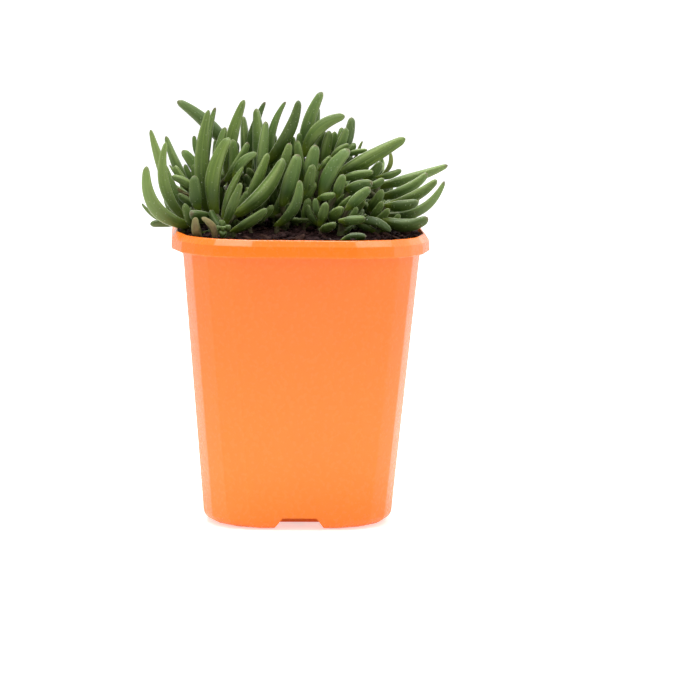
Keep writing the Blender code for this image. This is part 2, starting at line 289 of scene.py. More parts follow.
def makeDustGroup():
    group, start, end = newGroup("settledDust", {"Scale": 260.0, "Amount": 0.3}, Mask="Float")
    facing = splitAxes(group, addNode(group, "ShaderNodeNewGeometry").outputs["Normal"])
    upward = addRange(group, facing["Z"], 0.1, 0.95)
    patches = addNoise(group, objectPlace(group), start["Scale"], 5.0, 0.65)
    mask = times(group, upward, addRange(group, patches, 0.46, 0.72))
    mask = addMath(group, "MULTIPLY", mask, start["Amount"], clamp=True)
    group.links.new(mask, end["Mask"])
    return group


def makeStreakGroup():
    # soft streaks running lengthwise, from the leaf's own round-and-along numbers
    group, start, end = newGroup("lengthStreaks", {"Count": 3.0}, Mask="Float")
    place = addNode(group, "ShaderNodeCombineXYZ")
    for index, name in enumerate(("sideways", "outward")):
        group.links.new(readAttribute(group, name), place.inputs[index])
    travel = times(group, readAttribute(group, "along"), 0.55)
    shift = times(group, readAttribute(group, "tone"), 37.0)  # each leaf has its own streaks
    group.links.new(plus(group, travel, shift), place.inputs[2])
    streaks = addNoise(group, place.outputs[0], start["Count"], 3.0, 0.5)
    group.links.new(addRange(group, streaks, 0.46, 0.66, 0.0, 0.75), end["Mask"])
    return group


mottleGroup = makeMottleGroup()
streakGroup = makeStreakGroup()
grainGroup = makeGrainGroup()
speckGroup = makeSpeckGroup()
dustGroup = makeDustGroup()


def useGroup(tree, group, **values):
    node = addNode(tree, "ShaderNodeGroup")
    node.node_tree = group
    for title, value in values.items():
        socket = node.inputs[title.replace("_", " ")]
        if isinstance(value, (int, float)):
            socket.default_value = value
        elif isinstance(value, tuple):
            socket.default_value = (*value, 1)
        else:
            tree.links.new(value, socket)
    return node


def addBump(tree, shader, height, strength, distance):
    bump = addNode(tree, "ShaderNodeBump")
    bump.inputs["Strength"].default_value = strength
    bump.inputs["Distance"].default_value = distance
    tree.links.new(height, bump.inputs["Height"])
    tree.links.new(bump.outputs["Normal"], shader.inputs["Normal"])


print("shader groups made")

# leaf skin: heights and reaches are in metres, shares run from 0 to 1
leafLook = {
    "green": (0.078, 0.138, 0.014),
    "deepGreen": (0.023, 0.050, 0.003),
    "paleGreen": (0.158, 0.232, 0.038),
    "olive": (0.165, 0.190, 0.024),
    "coolGreen": (0.075, 0.170, 0.048),
    "bloom": (0.212, 0.294, 0.080),
    # painted light for the leaves that reach out to the sides
    "outerLitGreen": (0.270, 0.380, 0.115),
    "ridgeHighlight": (0.360, 0.450, 0.165),
    "footGreen": (0.150, 0.205, 0.008),
    "tipRust": (0.125, 0.103, 0.048),
    # painted rim light at the leaf outlines
    "edge": (0.600, 0.660, 0.420),
    "speck": (0.420, 0.480, 0.280),
    "salt": (0.66, 0.70, 0.56),
    "roughness": 0.46,
    "waxRoughness": (0.38, 0.60),
    "specular": 0.32,
    "subsurface": 0.10,
    "subsurfaceDepth": 0.0010,
    "subsurfaceRadius": (0.8, 1.0, 0.3),
    "mottleScale": 190.0,
    "mottleShare": 0.45,
    "streakCount": 3.2,
    "bloomScale": 240.0,
    "bloomShare": (0.10, 0.70),
    "coolShare": 0.42,
    "ridgeHighlightShare": 0.42,
    "deepShare": 0.85,
    "footShadeShare": 0.65,
    "footGreenShare": 0.55,
    "tipStart": 0.93,
    # from, to, share at the first and at the second
    "outerLightReach": (0.034, 0.062, 0.0, 0.40),
    "lowShadeReach": (0.112, 0.138, 0.45, 0.0),
    "rimLightReach": (0.66, 0.95, 0.0, 0.92),
    "speckShare": 0.30,
    "saltShare": 0.5,
    "grainScale": 2200.0,
    "bump": 0.5,
    "bumpDepth": 0.00018,
}


def mottled(tree, look, colour, otherColour):
    node = useGroup(tree, mottleGroup, Colour=colour, Other_Colour=otherColour,
                    Scale=look["mottleScale"], Amount=look["mottleShare"])
    return node.outputs["Colour"]


def dress(tree, shader, look, colour, coarse, *raised):
    # colour, then grain with any raised marks, each a mask and its height
    tree.links.new(colour, shader.inputs["Base Color"])
    height = useGroup(tree, grainGroup, Scale=look["grainScale"], Coarse=coarse).outputs["Height"]
    for mask, rise in raised:
        height = plus(tree, height, times(tree, mask, rise))
    addBump(tree, shader, height, look["bump"], look["bumpDepth"])


def makeLeafMaterial():
    look = leafLook
    material, tree, shader = newMaterial(
        "fleshyLeaf", look["roughness"], Subsurface_Weight=look["subsurface"],
        Subsurface_Scale=look["subsurfaceDepth"], Specular_IOR_Level=look["specular"])
    shader.inputs["Subsurface Radius"].default_value = look["subsurfaceRadius"]
    along = readAttribute(tree, "along")
    tone = readAttribute(tree, "tone")
    rust = readAttribute(tree, "rust")
    mottle = mottled(tree, look, look["green"], look["deepGreen"])
    streaks = useGroup(tree, streakGroup, Count=look["streakCount"]).outputs["Mask"]
    thin, thick = look["bloomShare"]
    patches = addRange(tree, addNoise(tree, None, look["bloomScale"], 4.0), 0.35, 0.75, thin, thick)
    specks = useGroup(tree, speckGroup, Scale=950.0, Size=0.24, Share=0.35).outputs["Mask"]
    salt = useGroup(tree, speckGroup, Scale=520.0, Size=0.13, Share=0.05).outputs["Mask"]
    place = splitAxes(tree, objectPlace(tree))
    aside = addMath(tree, "ABSOLUTE", place["X"])
    facing = addNode(tree, "ShaderNodeLayerWeight")
    facing.inputs["Blend"].default_value = 0.5
    # each colour is laid over those before it
    layers = [
        ("paleGreen", streaks),
        ("olive", addRange(tree, tone, 0.55, 1.0)),
        ("coolGreen", addRange(tree, rust, 0.15, 0.75, 0.0, look["coolShare"])),
        # a waxy bloom lies thicker on some stretches and over the outer half
        ("bloom", times(tree, patches, addRange(tree, along, 0.10, 0.85, 0.15, 0.95))),
        # painted highlight: pale lines along the three ridges
        ("ridgeHighlight", times(tree, readAttribute(tree, "ridge"), look["ridgeHighlightShare"])),
        # deep green for leaves of low tone: their own darker green, and painted shade on a few that lie in
        # shadow
        ("deepGreen", addRange(tree, tone, -1.0, 0.5, look["deepShare"], 0.0)),
        # painted shade: darker towards the foot, where the leaves shade one another
        ("deepGreen", addRange(tree, along, 0.0, 0.50, look["footShadeShare"], 0.0)),
        # painted light: the leaves that reach out to the sides are painted paler, as if more brightly lit
        ("outerLitGreen", addRange(tree, aside, *look["outerLightReach"])),
        # painted shade: the leaves low in the clump are darker towards the soil
        ("deepGreen", addRange(tree, place["Z"], *look["lowShadeReach"])),
        ("footGreen", addRange(tree, along, 0.0, 0.25, look["footGreenShare"], 0.0)),
        ("tipRust", times(tree, addRange(tree, along, look["tipStart"], 1.0), rust)),
        ("speck", times(tree, specks, look["speckShare"])),
        # painted rim light: paler where the surface turns away from view, along the outlines
        ("edge", addRange(tree, facing.outputs["Facing"], *look["rimLightReach"])),
        ("salt", times(tree, salt, look["saltShare"])),
    ]
    colour = mottle
    for name, share in layers:
        colour = addMix(tree, share, colour, look[name])
    tree.links.new(addRange(tree, patches, thin, thick, *look["waxRoughness"]), shader.inputs["Roughness"])
    dress(tree, shader, look, colour, 0.8, (specks, 0.6), (streaks, 0.8))
    return material


dryLook = {
    "brown": (0.165, 0.118, 0.034),
    "darkBrown": (0.070, 0.038, 0.013),
    "straw": (0.21, 0.18, 0.070),
    "ridge": (0.16, 0.20, 0.06),
    "mottleScale": 420.0,
    "mottleShare": 0.9,
    "roughness": 0.75,
    "grainScale": 1100.0,
    "bump": 0.8,
    "bumpDepth": 0.0003,
}


def makeDryMaterial():
    look = dryLook
    material, tree, shader = newMaterial("dryLeaf", look["roughness"])
    outer = addRange(tree, readAttribute(tree, "along"), 0.35, 0.95, 0.0, 0.75)
    colour = addMix(tree, outer, mottled(tree, look, look["brown"], look["darkBrown"]), look["straw"])
    colour = addMix(tree, times(tree, readAttribute(tree, "ridge"), 0.5), colour, look["ridge"])
    dress(tree, shader, look, colour, 1.6)
    return material


stemLook = {
    "green": (0.075, 0.095, 0.022),
    "brown": (0.060, 0.042, 0.018),
    "dust": (0.035, 0.024, 0.020),
    "dustShare": 0.4,
    "mottleScale": 300.0,
    "mottleShare": 0.9,
    "roughness": 0.7,
    "grainScale": 900.0,
    "bump": 0.9,
    "bumpDepth": 0.0004,
}


def makeStemMaterial():
    look = stemLook
    material, tree, shader = newMaterial("stemSkin", look["roughness"])
    dust = useGroup(tree, dustGroup, Scale=500.0, Amount=look["dustShare"]).outputs["Mask"]
    colour = addMix(tree, dust, mottled(tree, look, look["green"], look["brown"]), look["dust"])
    dress(tree, shader, look, colour, 1.5)
    return material


# soil, bark and grit: colour, darker colour and mottle scale, then what they share
soilLook = {
    "pottingSoil": ((0.026, 0.0100, 0.0095), (0.008, 0.0030, 0.0028), 330.0),
    "barkChip": ((0.052, 0.024, 0.016), (0.022, 0.010, 0.008), 260.0),
    "paleGrit": ((0.33, 0.28, 0.24), (0.17, 0.13, 0.11), 420.0),
    "fibre": (0.055, 0.026, 0.020),
    "fibreShare": 0.5,
    "dampRoughness": 0.62,
    "dryRoughness": 0.95,
    "specular": 0.08,
    "bump": 1.0,
    "bumpDepth": 0.0005,
}


def makeSoilMaterial(name):
    colour, otherColour, scale = soilLook[name]
    look = {**soilLook, "grainScale": scale * 5}
    material, tree, shader = newMaterial(name, look["dryRoughness"], Specular_IOR_Level=look["specular"])
    mottle = useGroup(tree, mottleGroup, Colour=colour, Other_Colour=otherColour, Scale=scale, Amount=1.0)
    fibres = addRange(tree, addNoise(tree, None, scale * 4, 6.0, 0.7), 0.55, 0.75, 0.0, look["fibreShare"])
    shade = addMix(tree, fibres, mottle.outputs["Colour"], look["fibre"])
    damp = addRange(tree, mottle.outputs["Mask"], 0.2, 0.9, look["dampRoughness"], look["dryRoughness"])
    tree.links.new(damp, shader.inputs["Roughness"])
    dress(tree, shader, look, shade, 1.4)
    return material


potLook = {
    # painted light and shade: the body runs from shaded under the lip to floor-lit at the base
    "lipShadedOrange": (0.92, 0.170, 0.0090),
    "floorLitOrange": (0.97, 0.240, 0.0200),
    "lipOrange": (0.93, 0.190, 0.0120),
    "stain": (0.50, 0.085, 0.012),
    "floorLitBelow": 0.106,
    "lipFrom": 0.1072,
    "mottleScale": 24.0,
    "mottleShare": 0.12,
    "dustShare": 0.25,
    "speckShare": 0.3,
    "roughness": (0.21, 0.30),
    "ior": 1.44,
    "grainScale": 1100.0,
    "bump": 0.08,
    "bumpDepth": 0.00005,
}


def makePotMaterial():
    look = potLook
    material, tree, shader = newMaterial("mouldedOrange", look["roughness"][0], IOR=look["ior"])
    # painted light and shade: paler towards the base, as if lit by the floor, and darker up under the lip, as
    # if shaded by it
    height = splitAxes(tree, objectPlace(tree))["Z"]
    low = addRange(tree, height, 0.0, look["floorLitBelow"], 1.0, 0.0)
    body = addMix(tree, low, look["lipShadedOrange"], look["floorLitOrange"])
    onLip = addMath(tree, "GREATER_THAN", height, look["lipFrom"])
    body = addMix(tree, onLip, body, look["lipOrange"])
    dust = useGroup(tree, dustGroup, Scale=180.0, Amount=look["dustShare"]).outputs["Mask"]
    specks = useGroup(tree, speckGroup, Scale=210.0, Size=0.07, Share=0.08).outputs["Mask"]
    colour = addMix(tree, dust, mottled(tree, look, body, look["lipOrange"]), look["stain"])
    colour = addMix(tree, times(tree, specks, look["speckShare"]), colour, look["stain"])
    wipe = addNoise(tree, None, 60.0, 5.0)
    tree.links.new(addRange(tree, wipe, 0.3, 0.7, *look["roughness"]), shader.inputs["Roughness"])
    dress(tree, shader, look, colour, 0.4)
    return material


leafMaterial = makeLeafMaterial()
dryMaterial = makeDryMaterial()
stemMaterial = makeStemMaterial()
soilMaterial = makeSoilMaterial("pottingSoil")
barkMaterial = makeSoilMaterial("barkChip")
gritMaterial = makeSoilMaterial("paleGrit")
potMaterial = makePotMaterial()
print("materials made")


def finishPiece(obj, material, slot, *nodes):
    obj.data.materials.clear()
    obj.data.materials.append(material)
    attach(obj, "root")
    if nodes:
        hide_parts(*nodes)
    return obj


def linkMesh(name, mesh):
    obj = bpy.data.objects.new(name, mesh)
    bpy.context.scene.collection.objects.link(obj)
    return obj


# pot: the same rings as the solid, with every corner and edge rounded

pot = {
    "height": 114.0,
    "rimHalf": 50.0,
    "bodyHalfTop": 45.6,
    "bodyHalfBase": 36.4,
    "cornerLength": 17.7,
    "wall": 1.3,
    "lipHeight": 6.6,
    "lipBevelHeight": 2.2,
    "lipBevelInset": 1.5,
    "baseRounding": 5.2,
    "edgeRound": 0.45,
    "channelHeight": 4.8,
    "channelTop": 13.4,
    "channelBase": 19.5,
    "channelLength": 17.0,
    "drainRadius": 3.0,
    "drainSides": 40,
    "lipCorner": ((0.40, 1.0), (0.69, 0.925), (0.825, 0.825), (0.925, 0.69), (1.0, 0.40)),
    "smoothBelow": 17,
}


def bodyCorner(half):
    corner = pot["cornerLength"]
    near, cut = half - corner * 0.51, half - corner * 0.186
    middle = (near + cut) / 2
    return [(half - corner, half), (near, cut), (middle, middle), (cut, near), (half, half - corner)]


def lipCorner(half):
    return [(half * x, half * y) for x, y in pot["lipCorner"]]


def roundedRing(corner, height, rounding):
    outline = []
    for quarter in range(4):
        turn = -quarter * math.pi / 2
        cos, sin = math.cos(turn), math.sin(turn)
        outline += [Vector((x * cos - y * sin, x * sin + y * cos)) for x, y in corner]
    outline.reverse()
    ring = []
    count = len(outline)
    for i, point in enumerate(outline):
        before = (outline[i - 1] - point).normalized()
        after = (outline[(i + 1) % count] - point).normalized()
        for t in (0.0, 0.5, 1.0):  # a short curve across each corner
            spot = point + before * rounding * (1 - t) ** 2 + after * rounding * t ** 2
            ring.append(Vector((spot.x, spot.y, height)))
    return ring


def bodyHalf(height):
    share = height / (pot["height"] - pot["lipHeight"])
    return pot["bodyHalfBase"] + (pot["bodyHalfTop"] - pot["bodyHalfBase"]) * share


def makeMesh(name, verts, faces):
    mesh = bpy.data.meshes.new(name)
    mesh.from_pydata(verts, [], faces)
    mesh.update()
    return mesh


def bandFaces(low, high, count):
    # the quads between two rings of vertices, given the number of each ring's first one
    pairs = [(i, (i + 1) % count) for i in range(count)]
    return [(low + i, low + j, high + j, high + i) for i, j in pairs]


def loftRings(name, rings):
    verts = [tuple(point * mm) for ring in rings for point in ring]
    count = len(rings[0])
    last = (len(rings) - 1) * count
    faces = [tuple(reversed(range(count)))]
    for low in range(0, last, count):
        faces += bandFaces(low, low + count, count)
    faces.append(tuple(range(last, last + count)))
    return makeMesh(name, verts, faces)


def profileRings(steps, edge):
    return [roundedRing(corner(half), height, edge) for corner, half, height in steps]


def potOutside():
    top, lip, edge = pot["height"], pot["height"] - pot["lipHeight"], pot["edgeRound"]
    steps = []
    for step in range(7):  # rounded foot
        angle = step * math.pi / 12
        inset = pot["baseRounding"] * (1 - math.sin(angle))
        height = pot["baseRounding"] * (1 - math.cos(angle))
        steps.append((bodyCorner, bodyHalf(height) - inset, height))
    for height in (30.0, 60.0, 90.0, lip - 1.6):
        steps.append((bodyCorner, bodyHalf(height), height))
    rim, bevel = pot["rimHalf"], pot["lipBevelHeight"]
    shoulder = rim - 0.3 - pot["lipBevelInset"]
    steps += [
        (bodyCorner, pot["bodyHalfTop"] + 0.05, lip - 0.5),
        (bodyCorner, pot["bodyHalfTop"] + 0.4, lip - 0.02),
        (lipCorner, rim - edge, lip),
        (lipCorner, rim - 0.1, lip + edge * 0.3),
        (lipCorner, rim, lip + edge),
        (lipCorner, rim - 0.28, top - bevel - edge * 0.4),
        (lipCorner, rim - 0.45, top - bevel + edge * 0.3),
        (lipCorner, shoulder + 0.15, top - edge * 0.6),
        (lipCorner, shoulder - 0.1, top - 0.08),
        (lipCorner, shoulder - edge, top),
    ]
    return profileRings(steps, edge)


def potInside(topUp):
    # the hollow, which reaches past the top by topUp
    inset = pot["wall"]
    lip = pot["height"] - pot["lipHeight"] + inset
    rim = pot["rimHalf"] - inset
    steps = [
        (bodyCorner, bodyHalf(inset) - inset - 2.2, inset),
        (bodyCorner, bodyHalf(4) - inset, inset + 2.6),
        (bodyCorner, pot["bodyHalfTop"] - inset, lip - 1.0),
        (lipCorner, rim - 0.6, lip),
        (lipCorner, rim - 1.1, pot["height"] - 0.5),
        (lipCorner, rim - 0.9, pot["height"] + topUp),
    ]
    return profileRings(steps, pot["edgeRound"])


def channelCutter(name, grow):
    shape = bmesh.new()
    inside = pot["bodyHalfBase"] - pot["channelLength"] - grow
    outside = pot["bodyHalfBase"] + 6
    for quarter in range(4):
        turn = Matrix.Rotation(quarter * math.pi / 2, 3, "Z")
        rows = []
        levels = ((-6.0, pot["channelBase"] + 8.0), (pot["channelHeight"] + grow, pot["channelTop"]))
        for height, width in levels:
            half = width / 2 + grow
            spots = [(-half, inside), (half, inside), (half, outside), (-half, outside)]
            rows.append([shape.verts.new(turn @ Vector((x, y, height)) * mm) for x, y in spots])
        low, high = rows
        shape.faces.new(list(reversed(low)))
        shape.faces.new(high)
        for i in range(4):
            j = (i + 1) % 4
            shape.faces.new((low[i], low[j], high[j], high[i]))
    mesh = bpy.data.meshes.new(name)
    shape.to_mesh(mesh)
    shape.free()
    return linkMesh(name, mesh)


def cutWith(obj, cutter):
    modifier = obj.modifiers.new("cut", "BOOLEAN")
    modifier.operation = "DIFFERENCE"
    modifier.solver = "EXACT"
    modifier.object = cutter
    bpy.context.view_layer.objects.active = obj
    bpy.ops.object.modifier_apply(modifier=modifier.name)
    bpy.data.objects.remove(cutter, do_unlink=True)


def makePot():
    obj = linkMesh("potShell", loftRings("potShell", potOutside()))
    hollow = linkMesh("hollow", loftRings("hollow", potInside(3.0)))
    cutWith(hollow, channelCutter("channelWalls", pot["wall"]))
    cutWith(obj, hollow)
    cutWith(obj, channelCutter("channels", 0.0))
    reach = (pot["bodyHalfBase"] - pot["channelLength"] + pot["drainRadius"] + 2.0) * mm
    for quarter in range(4):
        turn = quarter * math.pi / 2
        spot = (reach * math.sin(turn), reach * math.cos(turn), pot["channelHeight"] * mm)
        bpy.ops.mesh.primitive_cylinder_add(vertices=pot["drainSides"], radius=pot["drainRadius"] * mm,
                                            depth=6 * mm, location=spot)
        cutWith(obj, bpy.context.active_object)
    obj.data.shade_smooth()
    obj.data.set_sharp_from_angle(angle=math.radians(pot["smoothBelow"]))
    return finishPiece(obj, potMaterial, "pot_plastic", "pot")


makePot()
print("pot made")

# leaves: three-angled fingers, round at the edges, with a keel on the outer side

blade = {
    "rings": 30,
    "sides": 22,
    "keel": 0.24,
    "keelSharpness": 1.6,
    "twist": 0.30,
    "wobble": 0.030,
    "footReach": 1.6,
    "footWidth": 0.60,
    "widestAt": 0.42,
    "taperPower": 1.75,
    "taper": (0.42, 0.68),  # of stout and of slender leaves
    "taperGain": 0.065,
    "stoutBelow": 3.5,
    "tipRound": 0.42,
    "tipMost": 0.30,
    "shareBeforeTip": 0.68,
}


def bladeWidth(share, tipShare, taper=0.5):
    foot, widest = blade["footWidth"], blade["widestAt"]
    if share < widest:
        width = foot + (1 - foot) * math.sin(math.pi / 2 * max(0.0, share) / widest)
    else:
        width = 1.0 - taper * ((share - widest) / (1 - widest)) ** blade["taperPower"]
    if share > 1 - tipShare:
        width *= math.sqrt(max(0.0, 1 - ((share - 1 + tipShare) / tipShare) ** 2))
    return width


def bladeStations(tipShare):
    # evenly spaced at first, closer together round the tip
    even = blade["rings"] * blade["shareBeforeTip"]
    stations = [i / even * (1 - tipShare) for i in range(int(even) + 1)]
    far = blade["rings"] - len(stations)
    for i in range(1, far + 1):
        stations.append(1 - tipShare + tipShare * math.sin(math.pi / 2 * i / far))
    return stations


def buildBlade(name, path, width, tone, rust, seed, keel=None, wobble=None):
    # path gives a point in millimetres for a share of the length from foot to tip
    keelWay = keelFor(path)
    chance = random.Random(seed)
    keel = blade["keel"] * chance.uniform(0.7, 1.25) if keel is None else keel
    wobble = blade["wobble"] if wobble is None else wobble
    twist = chance.uniform(-1, 1) * blade["twist"]
    offset = Vector((chance.uniform(0, 90), chance.uniform(0, 90), chance.uniform(0, 90)))
    length = sum((path((i + 1) / 12) - path(i / 12)).length for i in range(12))
    tipShare = min(blade["tipMost"], blade["tipRound"] * width / length)
    stout, slender = blade["taper"]
    taper = stout + blade["taperGain"] * (length / width - blade["stoutBelow"])
    taper = min(slender, max(stout, taper))
    sides = blade["sides"]
    verts, along, ridge, sideways, outward = [], [], [], [], []
    reach = blade["footReach"] / length
    rows = [-reach, -reach * 0.5] + bladeStations(tipShare)[:-1]
    for share in rows:
        centre = path(share)
        ahead = (path(share + 0.02) - path(share - 0.02)).normalized()
        out = (keelWay - ahead * keelWay.dot(ahead)).normalized()
        across = ahead.cross(out)
        half = width / 2 * bladeWidth(share, tipShare, taper)
        if share < 0:
            half = width / 2 * (blade["footWidth"] + 0.25 * share / reach)
        turn = twist * (share - 0.4)
        for i in range(sides):
            angle = 2 * math.pi * i / sides
            lift = (0.5 + 0.5 * math.cos(3 * (angle - math.pi / 2))) ** blade["keelSharpness"]
            spread = half * (1 - keel * 0.45 + keel * lift)
            spread *= 1 + wobble * noise.noise(Vector((angle, share * length / 5, 0)) + offset)
            x = spread * math.cos(angle + turn)
            y = spread * math.sin(angle + turn)
            verts.append(tuple((centre + across * x + out * y) * mm))
            along.append(max(0.0, share))
            ridge.append(lift ** 4)
            sideways.append(math.cos(angle))
            outward.append(math.sin(angle))
    verts.append(tuple(path(rows[0]) * mm))
    verts.append(tuple(path(1.0) * mm))
    along += [0.0, 1.0]
    for values in (ridge, sideways, outward):
        values += [0.0, 0.0]
    faces = []
    for row in range(len(rows) - 1):
        faces += bandFaces(row * sides, (row + 1) * sides, sides)
    first, tip = len(verts) - 2, len(verts) - 1
    last = (len(rows) - 1) * sides
    for i in range(sides):
        j = (i + 1) % sides
        faces.append((first, j, i))
        faces.append((last + i, last + j, tip))
    mesh = makeMesh(name, verts, faces)
    readings = {"along": along, "ridge": ridge, "sideways": sideways, "outward": outward,
                "tone": [tone] * len(verts), "rust": [rust] * len(verts)}
    for title, values in readings.items():
        mesh.attributes.new(title, "FLOAT", "POINT").data.foreach_set("value", values)
    mesh.shade_smooth()
    return linkMesh(name, mesh)


def bentPath(foot, tip, bow, sway=0.0):
    foot, tip = Vector(foot), Vector(tip)
    along = (tip - foot).normalized()
    down = Vector((0, 0, -1))
    down = (down - along * down.dot(along)).normalized()
    aside = along.cross(down)

    def path(share):
        bend = 4 * share * (1 - share)
        return foot.lerp(tip, share) + (down * bow + aside * sway) * bend

    return path


def keelFor(path):
    # the keel is on the outside of the bend, or underneath where the leaf is straight
    bend = path(0.5) - path(0.0).lerp(path(1.0), 0.5)
    ahead = (path(1.0) - path(0.0)).normalized()
    under = Vector((0, 0, -1))
    under = (under - ahead * under.dot(ahead)).normalized()
    return (bend * 0.8 + under * 0.5).normalized()


def readBlade(node):
    # the solid leaf's own bend and width, fitted along its longest direction
    spots = np.array([tuple(vert.co / mm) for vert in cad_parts[node].data.vertices])
    middle = spots.mean(axis=0)
    axis = np.linalg.svd(spots - middle, full_matrices=False)[2][0]
    travel = (spots - middle) @ axis
    bends = [np.polyfit(travel, spots[:, k], 2) for k in range(3)]
    core = np.stack([np.polyval(bend, travel) for bend in bends], axis=1)
    away = np.linalg.norm(spots - core, axis=1)
    low, high = travel.min(), travel.max()
    ends = (high - low) * 0.04
    footFirst = away[travel < low + ends].mean() > away[travel > high - ends].mean()
    start, stop = (low, high) if footFirst else (high, low)

    def path(share):
        place = start + (stop - start) * share
        return Vector([float(np.polyval(bend, place)) for bend in bends])

    return path, float(away.max() * 2)


leafMood = {
    "seed": 31,
    "rustShare": 0.55,
    "stationCount": 12,
    "fatter": 1.04,
    # the leaves that differ most from the rest: -1 is the deepest green, 1 is olive
    "tones": {
        "01": 0.7, "02": 0.6, "03": 0.6, "04": 0.7, "05": 0.3, "06": 0.6, "08": 0.4, "10": -0.5, "11": -0.5,
        "16": -0.4, "17": 0.55, "18": 0.3, "20": 0.7, "22": -0.5, "25": 0.6, "28": 0.0, "30": 0.2, "34": 0.5,
        "35": -0.3, "37": -0.4, "38": 0.1, "40": 0.65, "41": 0.4, "42": 0.3, "44": -0.7, "45": -0.4,
    },
}
placed = []  # centre points and half widths of the leaves so far


def bladeSamples(path, width):
    last = leafMood["stationCount"] - 1
    shares = [0.04 + 0.96 * i / last for i in range(last + 1)]
    spots = np.array([tuple(path(share)) for share in shares])
    halves = np.array([width / 2 * max(0.3, bladeWidth(share, 0.1)) for share in shares])
    return spots, halves


def hasRoom(path, width, slack=0.0):
    spots, halves = bladeSamples(path, width)
    for others, otherHalves in placed:
        gaps = np.linalg.norm(spots[:, None] - others[None], axis=2) - halves[:, None] - otherHalves[None]
        if gaps.min() < slack:
            return False
    return True


def keepRoom(path, width):
    placed.append(bladeSamples(path, width))


leafFeet = []  # foot, direction and width of each leaf that needs something to grow from


def keepFoot(path, width):
    leafFeet.append((path(0.0), (path(0.08) - path(0.0)).normalized(), width))


def makeCadLeaves():
    chance = random.Random(leafMood["seed"])
    for node in sorted(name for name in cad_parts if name.startswith("leaf_")):
        path, width = readBlade(node)
        number = node.split("_")[1]
        rust = chance.uniform(0.4, 1.0) if chance.random() < leafMood["rustShare"] else chance.uniform(0, 0.3)
        tone = leafMood["tones"].get(number, chance.uniform(0.0, 0.5))
        seed = int(number) * 7 + 1
        leaf = buildBlade(f"fleshLeaf{number}", path, width * leafMood["fatter"], tone, rust, seed)
        finishPiece(leaf, leafMaterial, "leaf", node)
        keepRoom(path, width)
        keepFoot(path, width)


makeCadLeaves()
print("leaves of the solids made")
